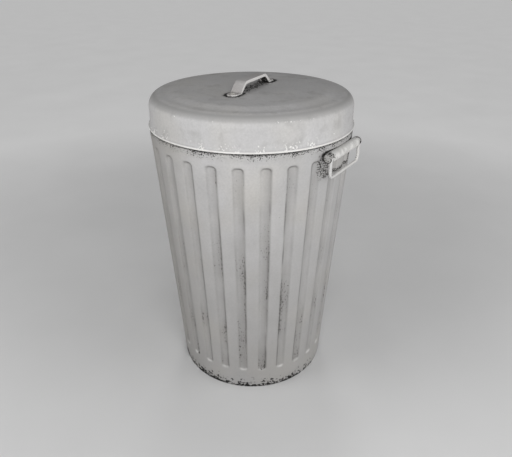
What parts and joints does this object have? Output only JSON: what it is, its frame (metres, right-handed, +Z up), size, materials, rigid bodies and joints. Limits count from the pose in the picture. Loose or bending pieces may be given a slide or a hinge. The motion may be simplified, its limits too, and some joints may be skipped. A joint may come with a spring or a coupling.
{
  "type": "trash can",
  "caption": "Tapered round steel dustbin with a fluted wall, wire drop handles on its sides and a deep lift-off lid with a strap handle.",
  "frame": {"origin": "on the floor, at the middle of the base", "axes": "+Z up; one side handle on +X and the other on -X; -Y is the front"},
  "size_m": [0.4818, 0.4604, 0.7305],
  "materials": {
    "can_paint": "worn satin grey paint, chipped to dark at the base",
    "lid_paint": "worn satin grey paint",
    "handle_paint": "worn satin grey paint, dark in the corners",
    "bail_paint": "worn satin grey paint on steel wire",
    "rivet_steel": "painted over with the lid, rubbed bright on the heads",
    "steel_wire": "drawn steel wire"
  },
  "bodies": {
    "can": {"can_wall": "can_paint", "can_rim_wire": "steel_wire", "can_bottom": "can_paint", "right_handle_hood": "handle_paint", "left_handle_hood": "handle_paint"},
    "right_bail": {"right_bail": "bail_paint"},
    "left_bail": {"left_bail": "bail_paint"},
    "lid": {"lid_shell": "lid_paint", "lid_edge_wire": "steel_wire", "lid_handle": "handle_paint", "lid_handle_rivets": "rivet_steel", "lid_rivet_washers": "rivet_steel"}
  },
  "joints": [
    {"name": "lid_lift", "type": "slide", "parent": "can", "child": "lid", "axis": [0, 0, 1], "range_m": [0, 0.2]},
    {"name": "right_bail_swing", "type": "hinge", "parent": "can", "child": "right_bail", "pos_m": [0.23528, 0, 0.60732], "axis": [0, -1, 0], "range_deg": [-8, 90]},
    {"name": "left_bail_swing", "type": "hinge", "parent": "can", "child": "left_bail", "pos_m": [-0.23528, 0, 0.60732], "axis": [0, 1, 0], "range_deg": [-8, 90]}
  ]
}
